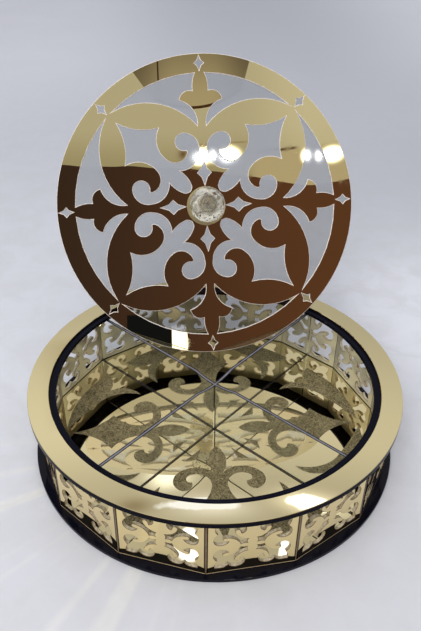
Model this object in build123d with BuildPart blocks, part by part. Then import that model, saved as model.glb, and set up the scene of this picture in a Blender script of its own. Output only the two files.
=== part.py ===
"""Round sweets box of laser-cut mirror acrylic, with its lid standing in the back compartment.

Fourteen fretted wall panels stand on a disc, two clear dividers cross inside them, and two rings
close the top: the lower one is the ledge that the lid rests on, the upper one is the bright rim.
All sizes are millimetres. The origin is the centre of the underside, with +Z up and -Y at the front.
"""
import os
from math import acos, ceil, cos, degrees, radians, sin, sqrt

from build123d import *

# Box: the disc, the wall and the two rings
panel_count = 14
panel_corner_radius = 145.3        # from the axis to the outer edge between two panels
panel_height = 54.8
panel_thickness = 2.8
first_corner_angle = 135.0         # degrees from +X; one divider ends in this corner
base_margin = 4.2                  # of the disc, beyond the panels' corners
base_thickness = 3.0
floor_thickness = 1.0
ring_margin = 4.7                  # of both rings, beyond the panels' corners
ledge_width = 22.0
ledge_thickness = 3.0
rim_width = 16.5
rim_thickness = 2.0
glue_gap = 0.1                     # between parts that are bonded edge to edge

# Fretwork of one wall panel: a quarter of the pattern, mirrored both ways and fitted in the frame
side_frame = 4.8                   # what the fretwork leaves of the panel, on each side
lower_frame = 4.9
upper_frame = 6.7
fret_hole = [
    (3.0, 6.4), (3.8, 1.7), (8.2, 1.6),                                 # end of the bar
    (12.2, 7.6), (16.8, 9.6), (20.1, 9.0), (16.8, 6.3),                 # side hook
    (18.8, 3.1), (23.4, 2.9), (26.8, 7.4), (24.2, 14.2),
    (26.0, 16.6), (26.0, 21.1), (20.6, 21.0), (16.6, 18.2),             # corner leaf
    (13.4, 21.3), (8.6, 21.6), (5.2, 17.4),                             # lower hook
    (7.6, 13.0), (9.4, 16.4), (12.3, 15.2), (9.6, 9.8),
]

# Dividers: two clear plates, halved together on the axis
divider_thickness = 3.0
divider_drop = 2.0                 # of their tops, below the ledge ring
divider_angle = 135.0              # of the first one, so that the back compartment faces +Y
halving_clearance = 0.1            # each side of the slot
hub_dip = 3.1                      # the tops dip here, so that the knob's screw clears them
hub_dip_width = 42.0

# Lid: a clear disc with a gold fretwork disc bonded to its face
lid_clearance = 1.5                # all round, between the closed lid and the rim
glass_thickness = 3.0
fret_thickness = 2.0
lid_band_width = 16.6              # of the fretwork's rim band
cut_tolerance = 0.17               # of the chords that follow a curve of the fretwork
spade_diamond_centre = 29.2        # from the lid's axis
spade_diamond_size = (10.6, 6.0)   # half length, half width
band_diamond_size = (6.0, 4.1)
diamond_waist = 0.37               # of a diamond's hollow sides, as a share of its half sizes

# The lid stands on the tops of the two back dividers, leaning back
lid_lean = 28.5                    # degrees from upright
lid_turn = 1.7                     # degrees, anticlockwise seen from the front
lid_seat_distance = 74.9           # from the axis to the lid's face, at the divider tops
seat_gap = 0.3

# Knob
screw_radius = 2.0
screw_clearance = 0.5
thread_clearance = 0.05
screw_reach = 1.0                  # of the screw's end, into the collar's stem
screw_head_radius = 3.8
screw_head_height = 2.4
washer_radius = 6.0
washer_thickness = 1.0
collar_radius = 17.2
collar_flange = 1.6
collar_neck_radius = 6.6
collar_height = 8.0
collar_cup_radius = 9.4
collar_cup_depth = 1.8
collar_stem_radius = 3.6
collar_stem_length = 8.0
ball_radius = 15.4
ball_seat_drop = 12.4              # from the ball's centre to its flat underside
facet_depth = 0.965                # flat of a facet, as a share of the ball's radius
facet_rings = [(72, 6), (48, 12), (24, 12), (0, 12), (-24, 12), (-48, 12)]    # latitude, facets

floor_top = base_thickness + floor_thickness
panel_top = base_thickness + panel_height
divider_top = panel_top - divider_drop
divider_height = divider_top - floor_top
half_panel_angle = 180.0 / panel_count
outer_apothem = panel_corner_radius * cos(radians(half_panel_angle))
inner_apothem = outer_apothem - panel_thickness
inner_corner_radius = inner_apothem / cos(radians(half_panel_angle))
ring_outer_radius = panel_corner_radius + ring_margin
rim_inner_radius = ring_outer_radius - rim_width
lid_radius = rim_inner_radius - lid_clearance
lid_band_radius = lid_radius - lid_band_width
lid_thickness = glass_thickness + fret_thickness


def wall_reach(angle):
    """Length that a divider can have from the axis towards the wall, along this angle."""
    reaches = []
    for number in range(panel_count):
        normal_angle = first_corner_angle + (2 * number + 1) * half_panel_angle
        turn = radians(angle - normal_angle)
        if cos(turn) > 0:              # a panel ahead, not one behind
            reaches.append((inner_apothem - abs(sin(turn)) * divider_thickness / 2) / cos(turn))
    return min(reaches) - glue_gap


def cut_path(start, *steps):
    """Corners of a cut outline in the lid: a step is an end point, or a through point and an end point.

    The outline is brought from its drawn size to the lid's. A curved step is followed by short
    chords that stay within cut_tolerance of its arc.
    """
    corners = [Vector(*start) * lid_fret_scale]
    for step in steps:
        if not isinstance(step[0], tuple):
            corners.append(Vector(*step) * lid_fret_scale)
            continue
        through, end = (Vector(*point) * lid_fret_scale for point in step)
        arc = ThreePointArc(corners[-1], through, end)
        chord_angle = 2 * degrees(acos(1 - cut_tolerance / arc.radius))
        chords = ceil(degrees(arc.length / arc.radius) / chord_angle)
        corners += [arc @ (number / chords) for number in range(1, chords + 1)]
    return corners


def save(piece, name):
    """Label a finished piece and write it as a STEP file of the same name."""
    piece.part.label = name
    export_step(piece.part, f"parts/{name}.step")


os.makedirs("parts", exist_ok=True)

# ---------------------------------------------------------------- base disc
with BuildPart() as base_disc:
    with BuildSketch():
        Circle(panel_corner_radius + base_margin)
    extrude(amount=base_thickness)
save(base_disc, "base_disc")

# ---------------------------------------------------------------- mirror floor, inside the walls
with BuildPart() as floor_mirror:
    with BuildSketch(Plane.XY.offset(base_thickness)):
        RegularPolygon(inner_corner_radius - glue_gap, panel_count, rotation=first_corner_angle)
    extrude(amount=floor_thickness)
save(floor_mirror, "floor_mirror")

# ---------------------------------------------------------------- fretted wall panels
half_outside = panel_corner_radius * sin(radians(half_panel_angle)) - glue_gap / 2
half_inside = inner_corner_radius * sin(radians(half_panel_angle)) - glue_gap / 2
fret_half_width = half_inside - side_frame
fret_half_height = (panel_height - lower_frame - upper_frame) / 2
width_stretch = fret_half_width / max(across for across, up in fret_hole)
height_stretch = fret_half_height / max(up for across, up in fret_hole)
fret_centre = (outer_apothem, 0, base_thickness + lower_frame + fret_half_height)
panel_face = Plane(origin=fret_centre, x_dir=(0, 1, 0), z_dir=(1, 0, 0))

with BuildPart() as panel_blank:
    with BuildSketch(Plane.XY.offset(base_thickness)):
        with BuildLine():
            Polyline(
                (outer_apothem, -half_outside),
                (outer_apothem, half_outside),
                (inner_apothem, half_inside),
                (inner_apothem, -half_inside),
                close=True,
            )
        make_face()
    extrude(amount=panel_height)
    with BuildSketch(panel_face):
        with BuildLine():
            Polyline(
                *((across * width_stretch, up * height_stretch) for across, up in fret_hole), close=True
            )
        corner_fret = make_face()
        right_pair = [corner_fret, mirror(corner_fret, about=Plane.XZ)]
        mirror(right_pair, about=Plane.YZ)
    extrude(amount=-panel_thickness, mode=Mode.SUBTRACT)

for number in range(1, panel_count + 1):
    with BuildPart() as wall_panel:
        add(panel_blank.part, rotation=(0, 0, first_corner_angle + (2 * number - 1) * half_panel_angle))
    save(wall_panel, f"wall_panel_{number:02d}")

# ---------------------------------------------------------------- ledge ring and bright rim ring
with BuildPart() as ledge_ring:
    with BuildSketch(Plane.XY.offset(panel_top)):
        Circle(ring_outer_radius)
        Circle(ring_outer_radius - ledge_width, mode=Mode.SUBTRACT)
    extrude(amount=ledge_thickness)
save(ledge_ring, "ledge_ring")

with BuildPart() as rim_ring:
    with BuildSketch(Plane.XY.offset(panel_top + ledge_thickness)):
        Circle(ring_outer_radius)
        Circle(rim_inner_radius, mode=Mode.SUBTRACT)
    extrude(amount=rim_thickness)
save(rim_ring, "rim_ring")


# ---------------------------------------------------------------- clear dividers
def divider(angle, slot_from_top):
    """One divider plate along this angle, with half of the cross-halving joint."""
    along = Vector(1, 0, 0).rotate(Axis.Z, angle)
    face = Plane(origin=(0, 0, floor_top), x_dir=along, z_dir=along.cross(Vector(0, 0, 1)))
    hub_height = divider_height - hub_dip
    slot_width = divider_thickness + 2 * halving_clearance
    near_end = -wall_reach(angle + 180)
    far_end = wall_reach(angle)
    with BuildPart() as plate:
        with BuildSketch(face):
            with BuildLine():
                Line((-hub_dip_width / 2, divider_height), (near_end, divider_height))
                Polyline(
                    (near_end, divider_height), (near_end, 0), (far_end, 0), (far_end, divider_height)
                )
                Line((far_end, divider_height), (hub_dip_width / 2, divider_height))
                ThreePointArc(
                    (hub_dip_width / 2, divider_height),
                    (0, hub_height),
                    (-hub_dip_width / 2, divider_height),
                )
            make_face()
            if slot_from_top:
                with Locations((0, hub_height / 2)):
                    Rectangle(
                        slot_width, divider_height, align=(Align.CENTER, Align.MIN), mode=Mode.SUBTRACT
                    )
            else:
                with Locations((0, hub_height / 2 + halving_clearance)):
                    Rectangle(
                        slot_width, divider_height, align=(Align.CENTER, Align.MAX), mode=Mode.SUBTRACT
                    )
        extrude(amount=divider_thickness / 2, both=True)
    return plate


divider_a = divider(divider_angle, slot_from_top=True)
save(divider_a, "divider_a")
divider_b = divider(divider_angle - 90, slot_from_top=False)
save(divider_b, "divider_b")

# ---------------------------------------------------------------- where the lid stands
# Its face meets the divider tops on a chord; the lid's centre is up the slope from that chord.
half_chord = lid_seat_distance - divider_thickness / sqrt(2) - seat_gap
slope_to_centre = sqrt(lid_radius**2 - half_chord**2)
lid_normal = Vector(0, -cos(radians(lid_lean)), sin(radians(lid_lean)))
lid_slope = Vector(0, sin(radians(lid_lean)), cos(radians(lid_lean)))
face_centre = Vector(0, lid_seat_distance, divider_top) + lid_slope * slope_to_centre
lid_plane = Plane(
    origin=face_centre - lid_normal * lid_thickness,
    x_dir=Vector(1, 0, 0).rotate(Axis((0, 0, 0), lid_normal), lid_turn),
    z_dir=lid_normal,
)
lid_axis = Axis(lid_plane.origin, lid_plane.z_dir)
section_plane = Plane(origin=lid_plane.origin, x_dir=lid_plane.x_dir, z_dir=-lid_plane.y_dir)

# ---------------------------------------------------------------- lid disc
with BuildPart() as lid_glass:
    with BuildSketch(lid_plane):
        Circle(lid_radius)
        Circle(screw_radius + screw_clearance, mode=Mode.SUBTRACT)
    extrude(amount=glass_thickness)
save(lid_glass, "lid_glass")

# ---------------------------------------------------------------- lid fretwork
# Outlines for the arm along +Y; the corner opening is symmetric about the diagonal.
# They are drawn for a band that passes through band_start, and scaled to the lid's own band.
band_start = (4.5, 115.3)
band_middle = (44.0, 106.7)
band_end = (78.0, 85.0)
lid_fret_scale = lid_band_radius / Vector(*band_start).length
diagonal_plane = Plane(origin=(0, 0, 0), x_dir=(1, 1, 0), z_dir=(-1, 1, 0))

half_corner = cut_path(
    (75.0, 75.0),
    ((56.0, 68.6), (38.5, 69.4)),       # underside of the blade
    ((40.9, 55.0), (32.0, 41.0)),       # outside of the scroll
    ((22.5, 38.9), (13.6, 47.5)),
    (14.6, 49.6),                       # cut end of the scroll
    ((24.4, 57.0), (16.0, 64.2)),       # eye of the scroll
    ((7.3, 60.0), (4.0, 48.0)),         # edge of the neck
    ((8.8, 37.0), (22.8, 32.0)),
    ((15.9, 25.6), (12.0, 18.0)),       # barb of the spade
)
inner_end = cut_path((12.0, 18.0), ((13.4, 13.4), (18.0, 12.0)))

with BuildSketch() as corner_opening:
    with BuildLine():
        Polyline(*half_corner)
        mirror(about=diagonal_plane)
        Polyline(*inner_end)
    make_face()

beside_arm = cut_path(
    band_start,
    (band_middle, band_end),
    ((44.0, 91.5), (4.0, 70.5)),        # back of the blade
    ((7.2, 83.8), (19.2, 92.4)),        # underside of the leaf
    ((15.6, 98.8), (7.0, 100.4)),       # top of the leaf
    ((6.8, 108.2), band_start),         # side of the stem
)

with BuildSketch() as side_opening:
    with BuildLine():
        Polyline(*beside_arm[:-1], close=True)
    make_face()


def star_diamond(centre, size):
    """Pointed diamond with hollow sides, its long axis along +Y."""
    half_length, half_width = size
    with BuildSketch() as diamond:
        with BuildLine():
            Polyline(
                (0, centre - half_length),
                (diamond_waist * half_width, centre - diamond_waist * half_length),
                (half_width, centre),
                (diamond_waist * half_width, centre + diamond_waist * half_length),
                (0, centre + half_length),
            )
            mirror(about=Plane.YZ)
        make_face()
    return diamond.sketch


band_diamond_centre = (lid_radius + lid_band_radius) / 2

with BuildPart() as lid_fret:
    with BuildSketch(lid_plane.offset(glass_thickness)):
        Circle(lid_radius)
        Circle(screw_radius + screw_clearance, mode=Mode.SUBTRACT)
        with PolarLocations(0, 4):
            add(corner_opening.sketch, mode=Mode.SUBTRACT)
            add(side_opening.sketch, mode=Mode.SUBTRACT)
            add(mirror(side_opening.sketch, about=Plane.YZ, mode=Mode.PRIVATE), mode=Mode.SUBTRACT)
            add(star_diamond(spade_diamond_centre, spade_diamond_size), mode=Mode.SUBTRACT)
        with PolarLocations(0, 8):
            add(star_diamond(band_diamond_centre, band_diamond_size), mode=Mode.SUBTRACT)
    extrude(amount=fret_thickness)
save(lid_fret, "lid_fret")

# ---------------------------------------------------------------- knob: turned collar
collar_top = lid_thickness + collar_height
thread_radius = screw_radius + thread_clearance

with BuildPart() as knob_collar:
    with BuildSketch(section_plane):
        with BuildLine():
            Polyline(
                (thread_radius, lid_thickness),
                (collar_radius, lid_thickness),
                (collar_radius, lid_thickness + collar_flange),
                (collar_neck_radius, lid_thickness + collar_flange),
                (collar_neck_radius, collar_top - collar_cup_depth),
                (collar_cup_radius, collar_top - collar_cup_depth),
                (collar_cup_radius, collar_top),
                (collar_stem_radius, collar_top),
                (collar_stem_radius, collar_top + collar_stem_length),
                (thread_radius, collar_top + collar_stem_length),
                close=True,
            )
        make_face()
    revolve(axis=lid_axis)
save(knob_collar, "knob_collar")

# ---------------------------------------------------------------- knob: faceted ball
ball_plane = lid_plane.offset(collar_top + ball_seat_drop)

with BuildPart() as knob_ball:
    with Locations(ball_plane):
        Box(3 * ball_radius, 3 * ball_radius, 3 * ball_radius)
    for ring, (latitude, count) in enumerate(facet_rings):
        for step in range(count):
            turn = (step + 0.5 * (ring % 2)) * 360 / count
            outward = Vector(cos(radians(latitude)), 0, sin(radians(latitude))).rotate(Axis.Z, turn)
            facet_centre = ball_plane.from_local_coords(outward * ball_radius * facet_depth)
            facet_plane = Plane(origin=facet_centre, z_dir=facet_centre - ball_plane.origin)
            split(bisect_by=facet_plane, keep=Keep.BOTTOM)
    split(bisect_by=ball_plane.offset(ball_radius * facet_depth), keep=Keep.BOTTOM)
    split(bisect_by=ball_plane.offset(-ball_seat_drop), keep=Keep.TOP)
    with BuildSketch(ball_plane.offset(-ball_seat_drop)):
        Circle(collar_stem_radius + glue_gap)
    extrude(amount=collar_stem_length + glue_gap, mode=Mode.SUBTRACT)
save(knob_ball, "knob_ball")

# ---------------------------------------------------------------- knob: washer and screw
with BuildPart() as knob_washer:
    with BuildSketch(lid_plane.offset(-washer_thickness)):
        Circle(washer_radius)
        Circle(screw_radius + screw_clearance, mode=Mode.SUBTRACT)
    extrude(amount=washer_thickness)
save(knob_washer, "knob_washer")

with BuildPart() as knob_screw:
    with BuildSketch(lid_plane.offset(-washer_thickness)):
        Circle(screw_radius)
    extrude(amount=washer_thickness + collar_top + screw_reach)
    with BuildSketch(lid_plane.offset(-washer_thickness)):
        Circle(screw_head_radius)
    extrude(amount=-screw_head_height)
save(knob_screw, "knob_screw")
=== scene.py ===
"""Round sweets box of mirror acrylic, open, with its fretwork lid standing in the back compartment."""

from math import atan2, copysign, cos, degrees, hypot, pi, radians, sin, tan

import bmesh
import bpy
from mathutils import Matrix, Vector


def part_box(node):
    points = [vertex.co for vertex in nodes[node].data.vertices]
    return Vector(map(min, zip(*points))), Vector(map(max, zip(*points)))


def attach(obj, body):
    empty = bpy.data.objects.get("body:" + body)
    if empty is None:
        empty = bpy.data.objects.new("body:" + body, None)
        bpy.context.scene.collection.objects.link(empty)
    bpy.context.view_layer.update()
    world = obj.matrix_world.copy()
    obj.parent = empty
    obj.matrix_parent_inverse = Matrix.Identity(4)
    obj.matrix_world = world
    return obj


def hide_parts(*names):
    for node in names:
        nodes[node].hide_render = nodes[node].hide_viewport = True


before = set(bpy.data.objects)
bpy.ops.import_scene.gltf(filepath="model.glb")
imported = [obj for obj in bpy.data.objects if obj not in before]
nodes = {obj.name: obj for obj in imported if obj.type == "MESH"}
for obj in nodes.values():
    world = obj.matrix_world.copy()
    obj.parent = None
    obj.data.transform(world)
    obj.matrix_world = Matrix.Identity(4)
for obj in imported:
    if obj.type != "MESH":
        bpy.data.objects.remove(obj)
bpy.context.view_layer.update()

# Places that the frame gives, in metres
FLOOR_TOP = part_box("floor_mirror")[1].z
PANEL_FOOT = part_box("wall_panel_01")[0].z
BALL_MIDDLE = sum(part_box("knob_ball"), Vector()) / 2

# Sizes that the finishes and the sheets share, in millimetres
MM = 0.001                                      # metres in a millimetre
PANEL_COUNT = 14
PANEL_CORNER_RADIUS = 145.3
FIRST_CORNER_ANGLE = radians(135.0)             # where two panels meet, from +X
LID_LEAN = radians(28.5)                        # back from upright

UPWARDS = Vector((0, 0, 1))
TOWARDS_THE_LIGHT = Vector((-0.20, -0.44, 0.64))
LID_NORMAL = Vector((0.0, -cos(LID_LEAN), sin(LID_LEAN)))


# ---------------------------------------------------------------- building node trees
class Wiring:
    """A node tree under construction."""

    def __init__(self, tree):
        self.tree = tree

    def node(self, kind, wires=None, **settings):
        """Add a node, set its properties, and fill its inputs with values or other nodes' outputs."""
        made = self.tree.nodes.new(kind)
        for name, value in settings.items():
            setattr(made, name, value)
        for socket, value in (wires or {}).items():
            if isinstance(value, bpy.types.NodeSocket):
                self.tree.links.new(value, made.inputs[socket])
            else:
                made.inputs[socket].default_value = value
        return made

    def math(self, operation, *values, clamp=False):
        """Maths on values or other nodes' outputs."""
        wires = dict(enumerate(values))
        return self.node("ShaderNodeMath", wires, operation=operation, use_clamp=clamp).outputs[0]


class Recipe(Wiring):
    """The tree of a finish, with short ways to work out its values and give them to its shader."""

    def __init__(self, tree, shader=None):
        super().__init__(tree)
        self.shader = shader

    def put(self, socket, value):
        """Wire a value to a socket of the shader."""
        self.tree.links.new(value, self.shader.inputs[socket])

    def bump(self, height, strength, distance):
        """Relief of the surface, with its depth in metres."""
        wires = {"Height": height, "Strength": strength, "Distance": distance}
        self.put("Normal", self.node("ShaderNodeBump", wires).outputs[0])

    def axes(self, place):
        """The X, Y and Z of a place."""
        return self.node("ShaderNodeSeparateXYZ", {0: place}).outputs

    def vector(self, operation, *values, output="Vector", **named):
        """Vector maths. A scale is given by name, and a length comes from the output Value."""
        wires = dict(enumerate(values)) | named
        return self.node("ShaderNodeVectorMath", wires, operation=operation).outputs[output]

    def product(self, first, *others):
        """All the values multiplied together."""
        for other in others:
            first = self.math("MULTIPLY", first, other)
        return first

    def mix(self, share, first, second):
        """Blend of two colours."""
        wires = {0: share, 6: first, 7: second}
        return self.node("ShaderNodeMix", wires, data_type="RGBA").outputs[2]

    def noise(self, where, scale, detail=2.0, roughness=0.5, distortion=0.0):
        wires = {"Vector": where, "Scale": scale, "Detail": detail, "Roughness": roughness,
                 "Distortion": distortion}
        return self.node("ShaderNodeTexNoise", wires).outputs["Fac"]

    def spread(self, value, low, high, new_low=0.0, new_high=1.0):
        """Smooth step of a value from low to high, brought to a new range."""
        wires = {"Value": value, "From Min": low, "From Max": high, "To Min": new_low, "To Max": new_high}
        return self.node("ShaderNodeMapRange", wires, interpolation_type="SMOOTHSTEP").outputs[0]


def finish(name, look, **values):
    """A material with one Principled shader: a look adds its nodes, and the values fill other sockets."""
    material = bpy.data.materials.new(name)
    material.use_nodes = True
    shader = material.node_tree.nodes["Principled BSDF"]
    for socket, value in values.items():
        shader.inputs[socket.replace("_", " ")].default_value = value
    recipe = Recipe(material.node_tree, shader)
    look(recipe, recipe.node("ShaderNodeTexCoord").outputs["Object"])
    return material


# ---------------------------------------------------------------- colours of the box
GOLD = (0.79, 0.675, 0.385, 1)
DUST = (0.86, 0.82, 0.70, 1)
TURNED_GOLD = (0.86, 0.74, 0.42, 1)
PANEL_GOLD = (0.885, 0.72, 0.37, 1)
PANEL_LINE = (0.62, 0.47, 0.27, 1)
PANEL_CORNER = (0.16, 0.10, 0.045, 1)
PANEL_CORNER_DARK = (0.06, 0.035, 0.018, 1)
PANEL_EDGE = (0.66, 0.56, 0.38, 1)
PANEL_EDGE_DARK = (0.44, 0.36, 0.22, 1)
# The lid's cut edges: pale partly as the cut acrylic's own colour and partly as painted light, for the light
# that the acrylic carries to its edges
LID_EDGE = (0.90, 0.83, 0.75, 1)
LID_EDGE_DARK = (0.68, 0.58, 0.50, 1)
SHEET_EDGE = (0.022, 0.012, 0.008, 1)
SHEET_EDGE_DARK = (0.008, 0.005, 0.003, 1)
BACKING = (0.70, 0.66, 0.52, 1)
BACKING_DARK = (0.56, 0.53, 0.41, 1)
# Inner paint: a paler, yellower copy of the backing paint, which is painted light and sheen
INNER_LIT = (0.90, 0.86, 0.68, 1)
INNER_LIT_DARK = (0.78, 0.74, 0.58, 1)
WALL_SEAM = (0.035, 0.026, 0.018, 1)
# Painted highlight along the middle of the dividers' tops
DIVIDER_HIGHLIGHT = (0.20, 0.196, 0.215, 1)
DIVIDER_DARK = (0.022, 0.020, 0.030, 1)
DIVIDER_FOOT = (0.022, 0.016, 0.014, 1)
DIVIDER_CLEAR = (0.96, 0.98, 0.985, 1)
# Grey tint of the lid's clear disc, partly painted shade for the darker view through the lid
LID_CLEAR_SHADED = (0.71, 0.72, 0.715, 1)
# Cream of the crystal's tint and of its pale parts, which are painted light
CRYSTAL_TINT_AND_LIGHT = (1.0, 0.965, 0.84, 1)
# Dark specks on the crystal, which are painted reflections
REFLECTED_SPECK = (0.02, 0.02, 0.02, 1)
BLACK = (0.004, 0.004, 0.009, 1)
BLACK_DUST = (0.05, 0.05, 0.055, 1)
ENGRAVED = (0.31, 0.257, 0.132, 1)
ENGRAVED_DARK = (0.070, 0.054, 0.025, 1)
STEEL = (0.62, 0.62, 0.64, 1)


# ---------------------------------------------------------------- finishes of the box
def mirror_surface(recipe, place):
    """Nearly flat and sharp: a faint ripple, and fingerprints that dull it a little."""
    recipe.bump(recipe.noise(place, 9.0, detail=1.0), 0.10, 0.0012)
    smear = recipe.spread(recipe.noise(place, 34.0, detail=5.0, distortion=1.2), 0.52, 0.80)
    recipe.put("Roughness", recipe.math("MULTIPLY_ADD", smear, 0.06, 0.004))


def gold_mirror_look(recipe, place):
    """Gold mirror acrylic with a little dust."""
    mirror_surface(recipe, place)
    dust = recipe.spread(recipe.noise(place, 900.0), 0.74, 0.80)
    recipe.put("Base Color", recipe.mix(dust, GOLD, DUST))


def panel_gold_look(recipe, place):
    """Gold mirror of the wall panels, with a light line along the foot and down each mitred corner."""
    mirror_surface(recipe, place)
    across, along, height = recipe.axes(place)
    angle = recipe.math("SUBTRACT", recipe.math("ARCTAN2", along, across), FIRST_CORNER_ANGLE)
    from_corner = recipe.math("PINGPONG", angle, pi / PANEL_COUNT)
    from_corner = recipe.math("MULTIPLY", from_corner, PANEL_CORNER_RADIUS * MM)
    from_foot = recipe.math("SUBTRACT", height, PANEL_FOOT)
    foot_line = recipe.spread(from_foot, 0.0011, 0.0007)
    line = recipe.math("MAXIMUM", foot_line, recipe.spread(from_corner, 0.0005, 0.0003))
    beside_line = recipe.spread(from_corner, 0.0016, 0.0012)
    colour = recipe.mix(beside_line, PANEL_GOLD, PANEL_CORNER_DARK)
    recipe.put("Base Color", recipe.mix(line, colour, PANEL_LINE))
    recipe.put("Metallic", recipe.math("SUBTRACT", 1.0, line))


def paint(recipe, place, dark, light, smooth, rough):
    """Colour of the paint on a sheet's back, mottled between two tones; it sets the paint's grain too."""
    cloud = recipe.noise(place, 60.0, detail=6.0, roughness=0.6)
    grain = recipe.noise(place, 1400.0)
    recipe.bump(grain, 0.05, 0.0002)
    recipe.put("Roughness", recipe.spread(cloud, 0.2, 0.8, smooth, rough))
    tone = recipe.math("MULTIPLY_ADD", grain, 0.35, recipe.math("MULTIPLY", cloud, 0.65))
    return recipe.mix(recipe.spread(tone, 0.25, 0.75), dark, light)


def backing_look(recipe, place):
    """Paint on the back of the mirror sheets."""
    recipe.put("Base Color", paint(recipe, place, BACKING_DARK, BACKING, smooth=0.32, rough=0.5))


def inner_paint_look(recipe, place):
    """Paint inside the wall, smoother than the backing, and paler and yellower as painted light and sheen,
    with a dark seam where the wall meets the floor.
    """
    painted = paint(recipe, place, INNER_LIT_DARK, INNER_LIT, smooth=0.16, rough=0.28)
    seam = recipe.spread(recipe.axes(place)[2], FLOOR_TOP + 0.0011, FLOOR_TOP + 0.0006)
    recipe.put("Base Color", recipe.mix(seam, painted, WALL_SEAM))


def dark_edge_look(recipe, place):
    """Clear edge of a sheet that lies on black: it shows the black through it."""
    streak = recipe.noise(place, 500.0)
    recipe.put("Base Color", recipe.mix(streak, SHEET_EDGE_DARK, SHEET_EDGE))


def cut_edge_look(dark, light):
    """Edge left by the laser, with fine striations between two colours."""
    def look(recipe, place):
        streak = recipe.spread(recipe.noise(place, 600.0), 0.35, 0.6)
        recipe.put("Base Color", recipe.mix(streak, dark, light))
    return look


def divider_edge_look(recipe, place):
    """Polished top of a clear plate, along a diagonal: dark, with a painted highlight along its middle."""
    across, along, _ = recipe.axes(place)
    first = recipe.math("ABSOLUTE", recipe.math("ADD", across, along))
    second = recipe.math("ABSOLUTE", recipe.math("SUBTRACT", across, along))
    streak = recipe.noise(place, 240.0, detail=3.0)
    from_middle = recipe.math("MULTIPLY_ADD", streak, 0.0008, recipe.math("MINIMUM", first, second))
    # Painted highlight in the middle of the top, dark beside it
    dark = recipe.spread(from_middle, 0.0008, 0.0015)
    recipe.put("Base Color", recipe.mix(dark, DIVIDER_HIGHLIGHT, DIVIDER_DARK))


def let_light_through(recipe):
    """Shadow rays pass with a slight loss, so that a clear piece casts only a faint shadow."""
    tint = tuple(recipe.shader.inputs["Base Color"].default_value)
    passing = recipe.node("ShaderNodeBsdfTransparent", {"Color": tint}).outputs[0]
    is_shadow = recipe.node("ShaderNodeLightPath").outputs["Is Shadow Ray"]
    made = recipe.node("ShaderNodeMixShader", {0: is_shadow, 1: recipe.shader.outputs[0], 2: passing})
    recipe.tree.links.new(made.outputs[0], recipe.tree.nodes["Material Output"].inputs["Surface"])


def clear_look(recipe, place):
    """Clear sheet with a few faint smears."""
    smear = recipe.spread(recipe.noise(place, 50.0, detail=5.0, distortion=1.0), 0.55, 0.85)
    recipe.put("Roughness", recipe.math("MULTIPLY", smear, 0.05))
    let_light_through(recipe)


def divider_look(recipe, place):
    """Clear plate, dark along the foot where it stands on the mirror."""
    clear_look(recipe, place)
    foot = recipe.spread(recipe.axes(place)[2], FLOOR_TOP + 0.0010, FLOOR_TOP + 0.0007)
    recipe.put("Base Color", recipe.mix(foot, DIVIDER_CLEAR, DIVIDER_FOOT))
    recipe.put("Transmission Weight", recipe.math("SUBTRACT", 1.0, foot))


def crystal_look(recipe, place):
    """Cut crystal: clear in its middle and paler towards its rim, as painted rim light, with facets painted
    light and dark and faint rings round it. Lengths are in metres.

    Its lower part is painted pale, as painted light for the light from above that the facets there send out,
    with a few dark specks that are painted reflections.
    """
    out = recipe.vector("SUBTRACT", place, BALL_MIDDLE)
    from_axis = recipe.vector("LENGTH", recipe.vector("CROSS_PRODUCT", out, LID_NORMAL), output="Value")
    across, _, height = recipe.axes(out)
    swirl = recipe.noise(place, 90.0, detail=1.0, distortion=1.0)

    # The pale lower part, which is painted light, with a slanting, uneven edge, and the clear rest
    side = recipe.math("MULTIPLY_ADD", across, -0.2, recipe.math("MULTIPLY_ADD", swirl, 0.006, height))
    painted_light_below = recipe.spread(side, 0.0045, -0.0045)
    # Less clear towards the rim, so paler there, as painted rim light; the facets, clearer and less clear in
    # turn, are painted light and dark
    middle = recipe.spread(from_axis, 0.011, 0.006)
    ring = recipe.math("MULTIPLY_ADD", from_axis, 2600.0, recipe.math("MULTIPLY", swirl, 9.0))
    ring = recipe.math("MULTIPLY", recipe.math("SINE", ring), 0.03)
    facet = recipe.node("ShaderNodeTexVoronoi", {"Vector": place, "Scale": 300.0}).outputs["Color"]
    facet = recipe.math("MULTIPLY_ADD", recipe.axes(facet)[0], 0.6, -0.3)
    facet = recipe.math("MULTIPLY", facet, recipe.math("SUBTRACT", 1.0, middle))
    clear = recipe.math("ADD", recipe.math("MULTIPLY_ADD", middle, 0.20, 0.72), ring)
    clear = recipe.math("ADD", clear, facet, clamp=True)
    less_clear = recipe.math("MULTIPLY_ADD", painted_light_below, -0.93, 1.0)
    recipe.put("Transmission Weight", recipe.math("MULTIPLY", clear, less_clear))

    # Dark specks in the lower half, which are painted reflections
    dots = recipe.spread(recipe.noise(place, 540.0, detail=0.0), 0.66, 0.67)
    reflected_specks = recipe.math("MULTIPLY", dots, recipe.spread(height, 0.001, -0.001))
    recipe.put("Base Color", recipe.mix(reflected_specks, CRYSTAL_TINT_AND_LIGHT, REFLECTED_SPECK))

    # The pale part is lit as if it leaned towards the light
    facing = recipe.node("ShaderNodeNewGeometry").outputs["Normal"]
    raised = recipe.vector("SCALE", TOWARDS_THE_LIGHT, Scale=painted_light_below)
    recipe.put("Normal", recipe.vector("NORMALIZE", recipe.vector("ADD", facing, raised)))


def black_acrylic_look(recipe, place):
    """Gloss black sheet with a faint haze and a little dust."""
    haze = recipe.noise(place, 45.0, detail=5.0, distortion=0.8)
    recipe.put("Roughness", recipe.spread(haze, 0.45, 0.8, 0.05, 0.17))
    dust = recipe.spread(recipe.noise(place, 1100.0), 0.73, 0.80)
    recipe.put("Base Color", recipe.mix(dust, BLACK, BLACK_DUST))


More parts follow.
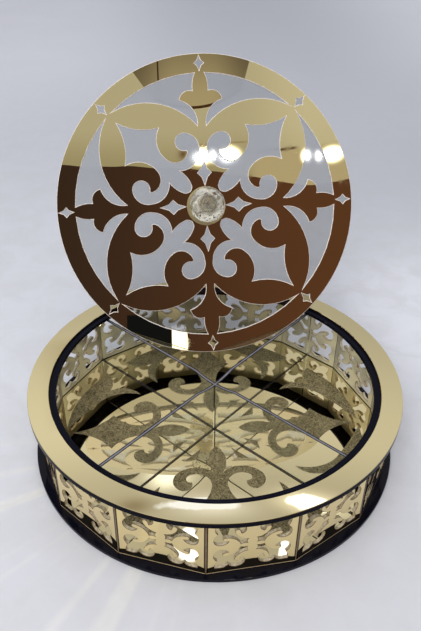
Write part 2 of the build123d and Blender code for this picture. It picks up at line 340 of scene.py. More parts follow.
def engraving_look(recipe, place):
    """Matt engraved ground: dark taupe with a fine yellow-grey fleck."""
    fleck = recipe.noise(place, 760.0, detail=1.0, distortion=2.0)
    cloud = recipe.noise(place, 90.0, detail=4.0)
    tone = recipe.math("MULTIPLY_ADD", recipe.math("SUBTRACT", cloud, 0.5), 0.2, fleck)
    recipe.put("Base Color", recipe.mix(recipe.spread(tone, 0.42, 0.58), ENGRAVED_DARK, ENGRAVED))
    recipe.bump(fleck, 0.5, 0.0003)


def turned_gold_look(recipe, place):
    """Satin metal of the knob's collar."""
    swirl = recipe.noise(place, 260.0, detail=3.0)
    recipe.put("Roughness", recipe.spread(swirl, 0.3, 0.8, 0.38, 0.50))
    recipe.put("Base Color", recipe.mix(swirl, GOLD, TURNED_GOLD))


def steel_look(recipe, place):
    """Plated metal of the knob's screw and washer."""
    wear = recipe.noise(place, 400.0, detail=3.0)
    recipe.put("Roughness", recipe.spread(wear, 0.3, 0.8, 0.16, 0.34))


gold_mirror = finish("gold_mirror", gold_mirror_look, Metallic=1.0)
panel_gold = finish("panel_gold", panel_gold_look)
backing_paint = finish("mirror_backing", backing_look)
# The inner paint's paler colour and its metallic sheen are painted light
inner_paint = finish("inner_paint", inner_paint_look, Metallic=0.55)
dark_edge = finish("dark_edge", dark_edge_look, Roughness=0.2, Specular_IOR_Level=0.04)
# Cream lid edges, partly painted light carried through the acrylic
lid_edge = finish("lid_edge", cut_edge_look(LID_EDGE_DARK, LID_EDGE), Roughness=0.3)
panel_edge = finish("panel_edge", cut_edge_look(PANEL_EDGE_DARK, PANEL_EDGE), Metallic=0.3, Roughness=0.2)
panel_corner = finish("panel_corner", cut_edge_look(PANEL_CORNER_DARK, PANEL_CORNER), Roughness=0.3)
divider_edge = finish("divider_edge", divider_edge_look, Roughness=0.18, Specular_IOR_Level=0.25)
# The ledge has the base's black acrylic with less shine: painted shade, so that it looks darker than the
# base
ledge_black_shaded = finish("ledge_black_shaded", black_acrylic_look, Specular_IOR_Level=0.04)
black_acrylic = finish("black_acrylic", black_acrylic_look, Specular_IOR_Level=0.12)
engraving = finish("engraving", engraving_look, Roughness=0.75, Specular_IOR_Level=0.15)
turned_gold = finish("turned_gold", turned_gold_look, Metallic=1.0)
steel = finish("plated_steel", steel_look, Metallic=1.0, Base_Color=STEEL)
divider_clear = finish("clear_acrylic", divider_look, IOR=1.49, Base_Color=DIVIDER_CLEAR)
# The lid's disc is tinted grey, partly as painted shade
lid_clear = finish("lid_clear_acrylic", clear_look, Transmission_Weight=1.0, IOR=1.49, Base_Color=LID_CLEAR_SHADED)
crystal = finish("crystal", crystal_look, Roughness=0.015, IOR=1.52)


# ---------------------------------------------------------------- finishes on the CAD nodes
FACE, BACK, CUT_EDGE, BROKEN_CORNER = range(4)
NEARLY_LEVEL = 0.9                              # cosine of a face's angle to the sheet's own direction
SLANTING = 0.5


def coat(mesh, finishes):
    """Give a mesh its finishes, in place of any that it has."""
    mesh.materials.clear()
    for material in finishes:
        mesh.materials.append(material)


def side_of_sheet(facing):
    """The side of a sheet that a polygon is on, from how squarely it faces outwards."""
    if facing > NEARLY_LEVEL:
        return FACE
    if facing < -NEARLY_LEVEL:
        return BACK
    return BROKEN_CORNER if abs(facing) > SLANTING else CUT_EDGE


def number_sides(mesh, outward):
    """Give each polygon of a sheet the finish of its side, in the order face, back, cut edge, corner."""
    for polygon in mesh.polygons:
        polygon.material_index = side_of_sheet(polygon.normal.dot(outward))


for name, finishes in (
    ("floor_mirror", (gold_mirror, backing_paint, dark_edge)),
    ("divider_a", (divider_edge, dark_edge, divider_clear)),
    ("divider_b", (divider_edge, dark_edge, divider_clear)),
):
    coat(nodes[name].data, finishes)
    number_sides(nodes[name].data, UPWARDS)

for name, material in (
    ("lid_glass", lid_clear), ("knob_ball", crystal), ("knob_collar", turned_gold),
    ("knob_washer", steel), ("knob_screw", steel),
):
    coat(nodes[name].data, [material])


# ---------------------------------------------------------------- outlines cut by the laser, in millimetres
def arc(start, through, end, step_angle=7.0):
    """Points after the start of the arc through three points, with a step of about that many degrees."""
    (ax, ay), (bx, by), (cx, cy) = start, through, end
    divisor = 2 * (ax * (by - cy) + bx * (cy - ay) + cx * (ay - by))
    a, b, c = ax * ax + ay * ay, bx * bx + by * by, cx * cx + cy * cy
    centre_x = (a * (by - cy) + b * (cy - ay) + c * (ay - by)) / divisor
    centre_y = (a * (cx - bx) + b * (ax - cx) + c * (bx - ax)) / divisor
    angles = [atan2(y - centre_y, x - centre_x) for x, y in (start, through, end)]
    turn = (angles[2] - angles[0]) % (2 * pi)
    if (angles[1] - angles[0]) % (2 * pi) > turn:
        turn -= 2 * pi
    radius = hypot(ax - centre_x, ay - centre_y)
    count = max(2, round(abs(degrees(turn)) / step_angle))
    steps = [angles[0] + turn * number / count for number in range(1, count + 1)]
    return [(centre_x + radius * cos(angle), centre_y + radius * sin(angle)) for angle in steps]


def outline(start, *steps):
    """Points of an outline: each step is an end point, or the through point and end point of an arc."""
    points = [start]
    for step in steps:
        points += arc(points[-1], *step) if isinstance(step[0], tuple) else [step]
    return points


def circle(radius, count=240):
    return [(radius * cos(2 * pi * n / count), radius * sin(2 * pi * n / count)) for n in range(count)]


def turned(points, angle):
    return [(x * cos(angle) - y * sin(angle), x * sin(angle) + y * cos(angle)) for x, y in points]


def mirrored(points, across=1, up=1):
    """The outline mirrored across, upwards or both."""
    flipped = [(x * across, y * up) for x, y in points]
    return flipped[::-1] if across * up < 0 else flipped


def star_diamond(centre, half_length, half_width, waist=0.37):
    """Diamond with hollow sides, upright on the Y axis."""
    side = [(waist * half_width, centre - waist * half_length), (half_width, centre),
            (waist * half_width, centre + waist * half_length)]
    return [(0, centre - half_length), *side, (0, centre + half_length), *mirrored(side, across=-1)]


# Lid openings, drawn beside the +Y arm and on the diagonal, and repeated in quarters and eighths
LID_RADIUS = 132.0
SCREW_HOLE_RADIUS = 2.5

half_corner = outline(
    (75.0, 75.0),
    ((56.0, 68.6), (38.5, 69.4)),               # underside of the blade
    ((40.9, 55.0), (32.0, 41.0)),               # outside of the scroll
    ((22.5, 38.9), (13.6, 47.5)),
    (14.6, 49.6),                               # cut end of the scroll
    ((24.4, 57.0), (16.0, 64.2)),               # eye of the scroll
    ((7.3, 60.0), (4.0, 48.0)),                 # edge of the neck
    ((8.8, 37.0), (22.8, 32.0)),
    ((15.9, 25.6), (12.0, 18.0)),               # barb of the spade
    ((12.5, 15.2), (13.4, 13.4)),
)
corner_opening = half_corner + [(y, x) for x, y in reversed(half_corner[1:-1])]
beside_arm = outline(
    (4.5, 115.3),
    ((44.0, 106.7), (78.0, 85.0)),              # inside of the rim band
    ((44.0, 91.5), (4.0, 70.5)),                # back of the blade
    ((7.2, 83.8), (19.2, 92.4)),                # underside of the leaf
    ((15.6, 98.8), (7.0, 100.4)),               # top of the leaf
    ((6.8, 108.2), (4.5, 115.3)),               # side of the stem
)[:-1]
arm_diamond = star_diamond(29.2, half_length=10.6, half_width=6.0)
band_diamond = star_diamond(123.7, half_length=6.0, half_width=4.1)

lid_openings = [circle(SCREW_HOLE_RADIUS, 32)]
for quarter in range(4):
    for opening in (corner_opening, beside_arm, mirrored(beside_arm, across=-1), arm_diamond):
        lid_openings.append(turned(opening, quarter * pi / 2))
for eighth in range(8):
    lid_openings.append(turned(band_diamond, eighth * pi / 4))

# A wall panel's openings are four of these, mirrored about its middle
panel_quarter = outline(
    (3.0, 6.3),
    ((3.9, 4.0), (3.5, 1.7)),                   # forked end of the bar
    ((5.8, 2.1), (8.2, 1.4)),
    ((12.0, 7.0), (18.2, 9.5)),                 # along the side lobe
    ((20.7, 8.2), (19.2, 6.2)),                 # its curled end
    (16.6, 5.6),
    ((20.8, 2.4), (26.2, 4.8)),                 # side bay
    ((27.0, 9.4), (24.2, 13.9)),
    ((25.8, 17.0), (26.1, 21.4)),               # corner leaf
    (22.2, 21.6),
    ((18.7, 20.9), (16.6, 18.5)),
    ((11.0, 22.2), (4.9, 17.3)),                # lower bay
    ((5.4, 14.2), (7.9, 12.4)),
    (8.8, 14.8),
    ((11.3, 16.5), (12.5, 14.2)),               # curled end of the lower lobe
    ((9.2, 9.0), (3.0, 6.3)),
)[:-1]

# The ornament engraved in the floor, drawn along +X
lily_half = outline(
    (22.0, 0.0),
    ((38.0, 7.2), (53.0, 2.4)),                 # petal
    ((45.4, 18.5), (52.5, 34.4)),               # scroll
    ((61.5, 36.8), (69.6, 29.5)),
    ((67.4, 23.4), (61.0, 21.8)),
    ((58.6, 26.2), (54.6, 25.0)),
    ((53.4, 13.5), (64.0, 6.2)),
    ((77.0, 10.4), (87.0, 20.2)),               # foot
    ((102.0, 6.6), (124.0, 0.0)),
)
lily = lily_half + mirrored(lily_half[1:-1], up=-1)
fluke = outline(
    (126.0, 4.0),
    ((117.8, 44.8), (95.0, 77.0)),
    ((89.6, 65.0), (92.6, 52.6)),
    ((77.5, 56.0), (64.0, 47.0)),
    ((83.0, 48.4), (100.0, 39.0)),
    ((113.0, 23.0), (126.0, 4.0)),
)[:-1]
dart = [(24.6, 12.6), (37.6, 26.4), (36.6, 16.6)]


# ---------------------------------------------------------------- sheets with true curves
LID_CHAMFER = 0.5
ROUND_CHAMFER = 0.3
PANEL_CHAMFER = 0.25
SAME_PLACE = 0.000001                           # metres


def add_object(name, mesh):
    made = bpy.data.objects.new(name, mesh)
    bpy.context.scene.collection.objects.link(made)
    return made


def cut_sheet(name, outlines, thickness, chamfer, finishes=()):
    """Mesh of a sheet cut along its outlines, the first one round the rest, with its back on z = 0."""
    curve = bpy.data.curves.new(name, "CURVE")
    curve.dimensions = "2D"
    curve.fill_mode = "BOTH"
    curve.extrude = thickness * MM / 2 - chamfer * MM
    curve.bevel_depth = chamfer * MM
    curve.bevel_resolution = 0
    curve.offset = -chamfer * MM
    for points in outlines:
        spline = curve.splines.new("POLY")
        spline.points.add(len(points) - 1)
        for point, (x, y) in zip(spline.points, points):
            point.co = (x * MM, y * MM, 0, 1)
        spline.use_cyclic_u = True
    drawn = add_object(name + "_drawing", curve)
    shown = drawn.evaluated_get(bpy.context.evaluated_depsgraph_get())
    mesh = bpy.data.meshes.new_from_object(shown)
    bpy.data.objects.remove(drawn)
    mesh.transform(Matrix.Translation((0, 0, thickness * MM / 2)))
    made = bmesh.new()
    made.from_mesh(mesh)
    bmesh.ops.remove_doubles(made, verts=made.verts, dist=SAME_PLACE)
    bmesh.ops.recalc_face_normals(made, faces=made.faces)
    for face in made.faces:
        face.smooth = False
    made.to_mesh(mesh)
    made.free()
    coat(mesh, finishes)
    number_sides(mesh, UPWARDS)
    return mesh


# The lid's fretwork, bonded to the face of its clear disc
FRET_THICKNESS = 2.0
GLASS_THICKNESS = 3.0
LID_TURN = radians(1.7)

lid_across = Matrix.Rotation(LID_TURN, 3, LID_NORMAL) @ Vector((1, 0, 0))
lid_up = LID_NORMAL.cross(lid_across)
lid_stand = Matrix((lid_across, lid_up, LID_NORMAL)).transposed().to_4x4()
lid_stand.translation = sum(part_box("lid_glass"), Vector()) / 2 + LID_NORMAL * (GLASS_THICKNESS / 2 * MM)

lid_sheet = cut_sheet(
    "lid_fretwork", [circle(LID_RADIUS)] + lid_openings, FRET_THICKNESS, LID_CHAMFER,
    finishes=(gold_mirror, backing_paint, lid_edge, lid_edge),
)
lid_sheet.transform(lid_stand)
lid_fretwork = add_object("lid_fretwork", lid_sheet)
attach(lid_fretwork, "lid")
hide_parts("lid_fret")

# The three round sheets of the box, with their edges broken
RIM_WIDTH = 16.5
LEDGE_WIDTH = 22.0


def round_sheet(name, node, width, finishes):
    """Disc, or ring of a given width, in the place of a node."""
    low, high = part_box(node)
    radius = (high.x - low.x) / 2 / MM
    outlines = [circle(radius)] + ([circle(radius - width)] if width else [])
    sheet = cut_sheet(name, outlines, (high.z - low.z) / MM, ROUND_CHAMFER, finishes)
    sheet.transform(Matrix.Translation((0, 0, low.z)))
    made = add_object(name, sheet)
    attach(made, "box")
    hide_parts(node)


round_sheet("rim", "rim_ring", RIM_WIDTH, (gold_mirror, backing_paint, dark_edge, gold_mirror))
round_sheet("ledge", "ledge_ring", LEDGE_WIDTH, [ledge_black_shaded] * 4)
round_sheet("base", "base_disc", None, [black_acrylic] * 4)


# ---------------------------------------------------------------- Geometry Nodes for what repeats
class Pattern(Wiring):
    """A Geometry Nodes tree under construction, with named inputs."""

    def __init__(self, name):
        super().__init__(bpy.data.node_groups.new(name, "GeometryNodeTree"))
        for side in ("INPUT", "OUTPUT"):
            self.tree.interface.new_socket("Geometry", in_out=side, socket_type="NodeSocketGeometry")
        self.start = self.tree.nodes.new("NodeGroupInput")
        self.end = self.tree.nodes.new("NodeGroupOutput")

    def input(self, name, kind, default):
        socket = self.tree.interface.new_socket(name, in_out="INPUT", socket_type=kind)
        socket.default_value = default
        return self.start.outputs[name]

    def give_finishes(self, geometry, finishes):
        """Give each numbered kind of face its finish, and end the tree."""
        kind = self.node("GeometryNodeInputNamedAttribute", {"Name": "finish"}, data_type="INT").outputs[0]
        for number, material in enumerate(finishes):
            chosen = self.node("FunctionNodeCompare", {2: kind, 3: number},
                               data_type="INT", operation="EQUAL").outputs[0]
            coated = self.node("GeometryNodeSetMaterial",
                               {"Geometry": geometry, "Selection": chosen, "Material": material})
            geometry = coated.outputs[0]
        self.tree.links.new(geometry, self.end.inputs["Geometry"])

    def apply(self, obj):
        """Run the tree on an object, and keep its result as the object's plain mesh."""
        modifier = obj.modifiers.new(self.tree.name, "NODES")
        modifier.node_group = self.tree
        shown = obj.evaluated_get(bpy.context.evaluated_depsgraph_get())
        mesh = bpy.data.meshes.new_from_object(shown)
        obj.modifiers.remove(modifier)
        obj.data = mesh
        return obj


def number_faces(mesh):
    """Keep each face's kind as a number that the tree can read."""
    kinds = mesh.attributes.new("finish", "INT", "FACE")
    kinds.data.foreach_set("value", [polygon.material_index for polygon in mesh.polygons])


def ring_of_copies(name, copies, radius, height, first_angle, finishes):
    """Tree that sets copies of a piece round the box's axis, with lengths in metres."""
    pattern = Pattern(name)
    count = pattern.input("Copies", "NodeSocketInt", copies)
    reach = pattern.input("Radius", "NodeSocketFloat", radius)
    lift = pattern.input("Height", "NodeSocketFloat", height)
    first = pattern.input("First angle", "NodeSocketFloat", first_angle)
    index = pattern.node("GeometryNodeInputIndex").outputs[0]
    angle = pattern.math("MULTIPLY_ADD", index, pattern.math("DIVIDE", 2 * pi, count), first)
    turn = pattern.node("ShaderNodeCombineXYZ", {"Z": angle}).outputs[0]
    out = pattern.node("ShaderNodeCombineXYZ", {"X": reach, "Z": lift}).outputs[0]
    place = pattern.node("ShaderNodeVectorRotate", {"Vector": out, "Rotation": turn},
                         rotation_type="EULER_XYZ").outputs[0]
    points = pattern.node("GeometryNodePoints", {"Count": count, "Position": place}).outputs[0]
    piece = pattern.start.outputs["Geometry"]
    placed = pattern.node("GeometryNodeInstanceOnPoints",
                          {"Points": points, "Instance": piece, "Rotation": turn}).outputs[0]
    real = pattern.node("GeometryNodeRealizeInstances", {"Geometry": placed}).outputs[0]
    pattern.give_finishes(real, finishes)
    return pattern


# Fourteen fretted wall panels. A panel is drawn with X across, Y up and Z outwards.
FRET_HEIGHT = 26.5
PANEL_THICKNESS = 2.8
HALF_GLUE_GAP = 0.05
MITRED_END = 1.0                                # width of the zone at each end that the mitre moves
FACING_X = Matrix(((0, 0, 1, 0), (1, 0, 0, 0), (0, 1, 0, 0), (0, 0, 0, 1)))

panel_low, panel_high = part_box("wall_panel_01")
panel_height = (panel_high.z - panel_low.z) / MM
half_panel_angle = pi / PANEL_COUNT
outer_apothem = PANEL_CORNER_RADIUS * cos(half_panel_angle)
half_outside = PANEL_CORNER_RADIUS * sin(half_panel_angle) - HALF_GLUE_GAP
mitre = PANEL_THICKNESS * tan(half_panel_angle)
panel_frame = [
    (-half_outside, 0), (half_outside, 0), (half_outside, panel_height), (-half_outside, panel_height),
]
panel_openings = [
    [(x, y + FRET_HEIGHT) for x, y in mirrored(panel_quarter, across, up)]
    for across in (1, -1) for up in (1, -1)
]
panel = cut_sheet("wall_panel", [panel_frame] + panel_openings, PANEL_THICKNESS, PANEL_CHAMFER)
for vertex in panel.vertices:
    if abs(vertex.co.x) > (half_outside - MITRED_END) * MM:
        share = 1 - vertex.co.z / (PANEL_THICKNESS * MM)
        vertex.co.x -= copysign(mitre * share * MM, vertex.co.x)
panel.transform(Matrix.Translation((0, 0, -PANEL_THICKNESS * MM)))
panel.transform(FACING_X)
number_faces(panel)
panel_ring = ring_of_copies(
    "fretted_wall", copies=PANEL_COUNT, radius=outer_apothem * MM, height=panel_low.z,
    first_angle=FIRST_CORNER_ANGLE + half_panel_angle,
    finishes=(panel_gold, inner_paint, panel_edge, panel_corner),
)
fretted_wall = panel_ring.apply(add_object("fretted_wall", panel))
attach(fretted_wall, "box")
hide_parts(*(f"wall_panel_{number:02d}" for number in range(1, PANEL_COUNT + 1)))

# Four ornaments engraved in the floor, as a film of matt ground
FILM_THICKNESS = 0.04


def engraved_film(name, outlines):
    """Mesh of a film with the given outlines, with its back on z = 0."""
    made = bmesh.new()
    for points in outlines:
        face = made.faces.new([made.verts.new((x * MM, y * MM, 0)) for x, y in points])
        face.normal_update()
        if face.normal.z < 0:
            face.normal_flip()
    extruded = bmesh.ops.extrude_face_region(made, geom=made.faces[:])["geom"]
    top = [part for part in extruded if isinstance(part, bmesh.types.BMVert)]
    bmesh.ops.translate(made, verts=top, vec=(0, 0, FILM_THICKNESS * MM))
    bmesh.ops.triangulate(made, faces=made.faces[:])
    bmesh.ops.recalc_face_normals(made, faces=made.faces)
    mesh = bpy.data.meshes.new(name)
    made.to_mesh(mesh)
    made.free()
    return mesh


ornament = engraved_film("ornament", [lily, fluke, mirrored(fluke, up=-1), dart, mirrored(dart, up=-1)])
number_faces(ornament)
ornament_ring = ring_of_copies(
    "engraved_ornaments", copies=4, radius=0.0, height=FLOOR_TOP, first_angle=0.0, finishes=(engraving,),
)
floor_engraving = ornament_ring.apply(add_object("floor_engraving", ornament))
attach(floor_engraving, "box")


# ---------------------------------------------------------------- table
TABLE_RADIUS = 6.0
PAPER = (0.685, 0.697, 0.745, 1)
PAPER_FRONT_SHADE = (0.605, 0.605, 0.63, 1)
PAPER_FAR_SHADE = (0.57, 0.585, 0.64, 1)
PAPER_FAR_ASIDE_LIT = (0.88, 0.89, 0.96, 1)
PAPER_BESIDE_LIT = (0.80, 0.81, 0.87, 1)
PAPER_BEYOND_SHADOW = (0.53, 0.545, 0.60, 1)
PAPER_GLINT = (0.80, 0.79, 0.75, 1)
PAPER_MOTTLE = (0.56, 0.56, 0.565, 1)


def table_look(recipe, place):
    """Pale matt paper with painted shade and light, a painted pool of light and a painted shadow near the
    box, the box's faint pale glints painted on its left, and a mottle.
    """
    across, along, _ = recipe.axes(place)

    def patch(paper, middle, outside, inside, share, colour):
        """A round patch with a soft edge, with lengths in metres."""
        away = recipe.vector("DISTANCE", place, middle, output="Value")
        return recipe.mix(recipe.spread(away, outside, inside, 0.0, share), paper, colour)

    # Painted shade: darker towards the back, but painted lighter far back at the sides, and a little darker
    # in front
    cloud = recipe.noise(place, 7.0, detail=4.0)
    back = recipe.product(recipe.spread(along, 0.18, 0.7), recipe.spread(across, -0.5, 0.05, 0.4, 1))
    shade = recipe.math("ADD", back, recipe.math("MULTIPLY_ADD", cloud, 0.4, -0.2))
    aside = recipe.spread(recipe.math("ABSOLUTE", recipe.math("SUBTRACT", across, 0.22)), 0.05, 0.72)
    aside = recipe.product(aside, recipe.spread(along, 0.6, 1.3))
    paper = recipe.mix(shade, PAPER, recipe.mix(aside, PAPER_FAR_SHADE, PAPER_FAR_ASIDE_LIT))
    paper = recipe.mix(recipe.spread(along, -0.03, -0.20, 0.0, 0.75), paper, PAPER_FRONT_SHADE)
    # A painted pool of light beside the box, and a painted shadow beyond it
    paper = patch(paper, (0.22, 0.18, 0.0), 0.15, 0.03, 0.7, PAPER_BESIDE_LIT)
    paper = patch(paper, (0.42, 0.50, 0.0), 0.30, 0.05, 0.8, PAPER_BEYOND_SHADOW)

    # Glints that the box's panels throw to its left, as rays
    turn = recipe.math("ARCTAN2", across, recipe.math("MULTIPLY", along, -1.0))
    away = recipe.vector("LENGTH", place, output="Value")
    rays = recipe.node("ShaderNodeTexNoise", {"W": turn, "Scale": 8.0, "Detail": 1.0}, noise_dimensions="1D")
    rays = recipe.spread(rays.outputs[0], 0.50, 0.68)
    left = recipe.product(recipe.spread(turn, 0.1, -0.3), recipe.spread(turn, -1.7, -1.2))
    glint = recipe.product(rays, recipe.product(left, recipe.spread(away, 0.34, 0.17)), 0.60)
    paper = recipe.mix(glint, paper, PAPER_GLINT)

    mottle = recipe.noise(place, 26.0, detail=6.0, roughness=0.62, distortion=0.6)
    mottle = recipe.product(recipe.spread(mottle, 0.38, 0.66), recipe.spread(away, 1.2, 0.3), 0.33)
    recipe.put("Base Color", recipe.mix(mottle, paper, PAPER_MOTTLE))


made = bmesh.new()
bmesh.ops.create_circle(made, cap_ends=True, segments=96, radius=TABLE_RADIUS)
mesh = bpy.data.meshes.new("table")
made.to_mesh(mesh)
made.free()
coat(mesh, [finish("pale_table", table_look, Roughness=0.55)])
table = add_object("table", mesh)


# ---------------------------------------------------------------- lamps
LAMPS_AIM = Vector((0, 0, 0.06))


def towards(azimuth, elevation):
    """Unit vector at an azimuth, from the front towards the right, and an elevation, both in radians."""
    return Vector((
        sin(azimuth) * cos(elevation),
        -cos(azimuth) * cos(elevation),
        sin(elevation),
    ))


def soft_lamp(name, azimuth, elevation, distance, size, power):
    """Square lamp that points at the box, and that the mirrors don't show."""
    lamp = bpy.data.lights.new(name, "AREA")
    lamp.size = size
    lamp.energy = power
    away = towards(radians(azimuth), radians(elevation))
    made = bpy.data.objects.new(name, lamp)
    made.location = LAMPS_AIM + away * distance
    made.rotation_euler = away.to_track_quat("Z", "Y").to_euler()
    made.visible_glossy = False
    made.visible_transmission = False
    bpy.context.scene.collection.objects.link(made)


soft_lamp("front_lamp", azimuth=-22, elevation=38, distance=1.7, size=0.7, power=11.8)
soft_lamp("top_lamp", azimuth=-40, elevation=76, distance=1.6, size=1.2, power=8)


# ---------------------------------------------------------------- room
LAMP_COLOUR = (40.0, 40.0, 39.0)
BACKGROUND = (0.70, 0.71, 0.76, 1)


class Room(Recipe):
    """The room that the mirrors show, painted in layers by azimuth and elevation, in degrees.

    The azimuth is from the front and the bearing from the back, and both grow towards the right.
    """

    def __init__(self, tree):
        super().__init__(tree)
        self.way = self.node("ShaderNodeTexCoord").outputs["Generated"]
        self.rightwards, backwards, height = self.axes(self.way)
        frontwards = self.math("MULTIPLY", backwards, -1.0)
        self.elevation = self.math("DEGREES", self.math("ARCSINE", height))
        self.azimuth = self.math("DEGREES", self.math("ARCTAN2", self.rightwards, frontwards))
        self.bearing = self.math("DEGREES", self.math("ARCTAN2", self.rightwards, backwards))
        self.colour = None

    def lay(self, share, colour):
        """Paint over the room, as far as the share goes. A bare colour gets its alpha."""
        self.colour = self.mix(share, self.colour, (*colour, 1) if isinstance(colour, tuple) else colour)

    def between(self, value, low, high, soft=0.3):
        """1 inside a range, and 0 outside it."""
        return self.product(self.spread(value, low - soft, low + soft),
                            self.spread(value, high + soft, high - soft))

    def window(self, left, right, low, high, soft_across, soft_up):
        """1 inside a range of azimuth and elevation, and 0 outside it."""
        return self.product(self.between(self.azimuth, left, right, soft_across),
                            self.between(self.elevation, low, high, soft_up))

    def oval(self, direction, across, up, half_width, half_height):
        """1 in the middle of an oval spot, fading outwards."""
        dx = self.math("DIVIDE", self.math("SUBTRACT", direction, across), half_width)
        dy = self.math("DIVIDE", self.math("SUBTRACT", self.elevation, up), half_height)
        square = self.math("ADD", self.math("POWER", dx, 2.0), self.math("POWER", dy, 2.0))
        return self.math("EXPONENT", self.math("MULTIPLY", square, -1.0))

    def spot(self, *place):
        """Oval spot in front, at an azimuth."""
        return self.oval(self.azimuth, *place)

    def glow(self, *place):
        """Oval spot behind, at a bearing."""
        return self.oval(self.bearing, *place)


def paint_walls(room):
    """Pale walls, brightest above eye level and a little darker on the right, with windows high behind."""
    room.colour = room.mix(
        room.spread(room.elevation, 31.0, 42.5), (0.56, 0.565, 0.58, 1), (0.86, 0.865, 0.88, 1)
    )
    room.lay(room.spread(room.elevation, 43.0, 49.5), (0.60, 0.60, 0.61))
    behind = room.math("GREATER_THAN", room.math("ABSOLUTE", room.azimuth), 90.0)
    room.lay(room.product(room.between(room.elevation, 62.0, 78.3), behind), (0.80, 0.83, 1.00))
    room.lay(room.product(room.spread(room.elevation, 73.0, 76.0), behind), (0.95, 1.02, 1.40))
    room.lay(room.spread(room.rightwards, -0.2, 0.3, 0.0, 0.14), (0.0, 0.0, 0.0))


def paint_back(room):
    """A dim strip behind the box, and the lamps over it, which glare on the rim and the floor."""
    ragged = room.noise(room.way, 26.0, detail=3.0)
    uneven = room.math("MULTIPLY_ADD", ragged, 0.9, -0.45)

    def firm(*place):
        """A glow with a firm, uneven edge."""
        return room.spread(room.math("ADD", room.glow(*place), uneven), 0.3, 0.5)

    middle = room.spread(room.math("ABSOLUTE", room.bearing), 14.0, 8.0)
    room.lay(room.product(room.between(room.elevation, 36.0, 42.6, 0.6), middle), (0.52, 0.49, 0.43))
    room.lay(room.glow(3.6, 42.0, 1.1, 0.35), (0.95, 0.88, 0.70))
    for across, up, size in ((2.6, 42.0, 0.16), (3.7, 42.2, 0.20), (4.6, 41.9, 0.13)):
        room.lay(room.glow(across, up, size, size), (3.0, 2.8, 2.2))
    room.lay(room.glow(-4.4, 49.5, 2.4, 0.6), (0.36, 0.33, 0.28))
    room.lay(room.glow(5.0, 49.8, 4.5, 0.9), (1.05, 1.10, 1.35))
    room.lay(firm(3.6, 49.6, 4.8, 0.5), (1.25, 1.40, 2.1))
    room.lay(room.glow(-0.4, 47.5, 2.2, 0.9), (2.2, 2.3, 2.7))
    room.lay(room.glow(16.8, 48.8, 4.0, 0.8), (1.5, 1.5, 1.6))
    room.lay(firm(16.7, 48.8, 3.0, 0.55), (3.2, 3.3, 4.2))
    room.lay(firm(14.4, 52.6, 0.9, 0.8), (2.2, 2.4, 3.4))
    room.lay(firm(1.9, 52.7, 1.7, 1.3), (2.2, 2.4, 3.4))


def paint_front(room):
    """Brown below a slanting, wavy edge in front, with a paler wall above it."""
    wave = room.noise(room.way, 9.0)
    front = room.math("LESS_THAN", room.math("ABSOLUTE", room.math("SUBTRACT", room.azimuth, 5.0)), 24.0)
    wall = room.mix(
        room.spread(room.elevation, 34.0, 37.5), (0.40, 0.385, 0.31, 1), (0.535, 0.53, 0.50, 1)
    )
    wall = room.mix(room.spread(room.azimuth, 7.0, 15.0, 0.0, 0.7), wall, (0.72, 0.72, 0.70, 1))
    room.lay(front, wall)
    room.lay(room.window(8.5, 40.0, 20.0, 35.0, 1.2, 0.2), (0.53, 0.49, 0.41))
    room.lay(room.window(9.2, 13.0, 35.0, 35.2, 0.4, 0.06), (0.12, 0.07, 0.04))
    room.lay(room.spot(2.2, 35.3, 0.5, 0.4), (0.16, 0.10, 0.07))
    room.lay(room.window(2.4, 8.4, 35.9, 36.0, 0.6, 0.08), (0.34, 0.27, 0.18))
    edge = room.math("ADD", wave, room.spread(room.azimuth, 0.0, 17.0, 33.9, 31.3))
    brown = room.mix(
        room.spread(room.azimuth, -10.0, 16.0), (0.046, 0.028, 0.026, 1), (0.120, 0.054, 0.034, 1)
    )
    room.lay(room.product(room.math("LESS_THAN", room.elevation, edge), front), brown)


def paint_lid_patch(room):
    """The dark shape, rounded below and with slanting sides, that the upper part of the lid shows."""
    from_middle = room.math("SUBTRACT", room.azimuth, 3.4)
    rise = room.math("SUBTRACT", room.elevation, 40.8)
    low_edge = room.math("MULTIPLY_ADD", room.math("POWER", from_middle, 2.0), 0.045, 38.75)
    left_edge = room.math("MULTIPLY_ADD", rise, -1.1, -2.0)
    right_edge = room.math("MULTIPLY_ADD", rise, 0.5, 8.7)
    inside = room.product(
        room.math("GREATER_THAN", room.azimuth, left_edge),
        room.math("LESS_THAN", room.azimuth, right_edge),
        room.math("GREATER_THAN", room.elevation, low_edge),
        room.math("LESS_THAN", room.elevation, 60.0),
    )
    side = room.spread(room.math("ABSOLUTE", from_middle), 1.5, 6.0)
    low = room.mix(side, (0.46, 0.42, 0.345, 1), (0.21, 0.185, 0.155, 1))
    high = room.mix(side, (0.275, 0.25, 0.205, 1), (0.13, 0.11, 0.09, 1))
    room.lay(inside, room.mix(room.spread(room.elevation, 39.5, 43.5), low, high))
    lower_line = room.math("LESS_THAN", room.math("SUBTRACT", room.elevation, low_edge), 0.22)
    room.lay(room.product(inside, lower_line), (0.07, 0.035, 0.02))
    room.lay(room.window(-0.18, -0.02, 40.0, 44.0, 0.04, 0.1), (0.05, 0.03, 0.025))


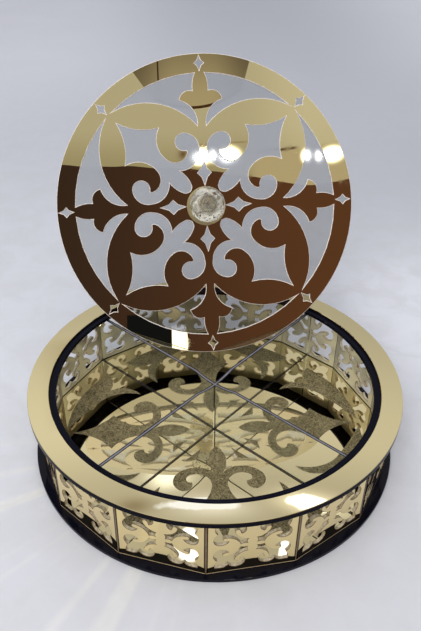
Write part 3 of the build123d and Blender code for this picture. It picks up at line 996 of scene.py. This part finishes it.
def paint_front_lamps(room):
    """A dark and a bright upright strip low in front, and two groups of lamps, which glare on the lid."""
    room.lay(room.window(-3.5, 0.35, 12.0, 22.6, 0.04, 0.1), (0.0076, 0.009, 0.013))
    room.lay(room.window(0.4, 1.7, 12.0, 21.6, 0.05, 0.2), (3.0, 3.05, 3.2))
    lamps = 0.0
    for place in (
        (3.75, 35.0, 0.60, 0.36), (4.95, 35.1, 0.28, 0.32), (6.4, 34.95, 0.66, 0.40),
        (13.95, 34.3, 0.32, 0.33), (15.0, 34.1, 0.28, 0.32), (16.4, 34.1, 0.62, 0.36),
    ):
        lamps = room.math("ADD", lamps, room.spot(*place), clamp=True)
    room.lay(lamps, LAMP_COLOUR)


def build_room():
    """World that shows the room to the object, and a plain background to the camera."""
    world = bpy.data.worlds.new("room")
    bpy.context.scene.world = world
    world.use_nodes = True
    world.node_tree.nodes.clear()
    room = Room(world.node_tree)
    for paint_part in (paint_walls, paint_back, paint_front, paint_lid_patch, paint_front_lamps):
        paint_part(room)
    seen = room.node("ShaderNodeLightPath").outputs["Is Camera Ray"]
    around, plain = (
        room.node("ShaderNodeBackground", {"Color": colour, "Strength": 1.0}).outputs[0]
        for colour in (room.colour, BACKGROUND)
    )
    mixed = room.node("ShaderNodeMixShader", {0: seen, 1: around, 2: plain}).outputs[0]
    room.node("ShaderNodeOutputWorld", {"Surface": mixed})


build_room()


# ---------------------------------------------------------------- camera
CAMERA_PLACE = Vector((-0.03815, -0.44335, 0.4282))
CAMERA_YAW = radians(4.35)                      # to the right of +Y
CAMERA_PITCH = radians(34.58)                   # downwards
CAMERA_ROLL = radians(0.80)
FOCAL_LENGTH = 40.09                            # millimetres, as is the sensor's width
SENSOR_WIDTH = 36.0

backwards = towards(-CAMERA_YAW, CAMERA_PITCH)
level_right = UPWARDS.cross(backwards).normalized()
level_up = backwards.cross(level_right)
right = level_right * cos(CAMERA_ROLL) + level_up * sin(CAMERA_ROLL)
up = level_up * cos(CAMERA_ROLL) - level_right * sin(CAMERA_ROLL)

lens = bpy.data.cameras.new("camera")
lens.lens = FOCAL_LENGTH
lens.sensor_width = SENSOR_WIDTH
lens.clip_start = 0.01
lens.clip_end = 100.0
camera = bpy.data.objects.new("camera", lens)
camera.matrix_world = Matrix((right, up, backwards)).transposed().to_4x4()
camera.location = CAMERA_PLACE
bpy.context.scene.collection.objects.link(camera)
bpy.context.scene.camera = camera

bpy.context.scene.view_settings.view_transform = "Standard"
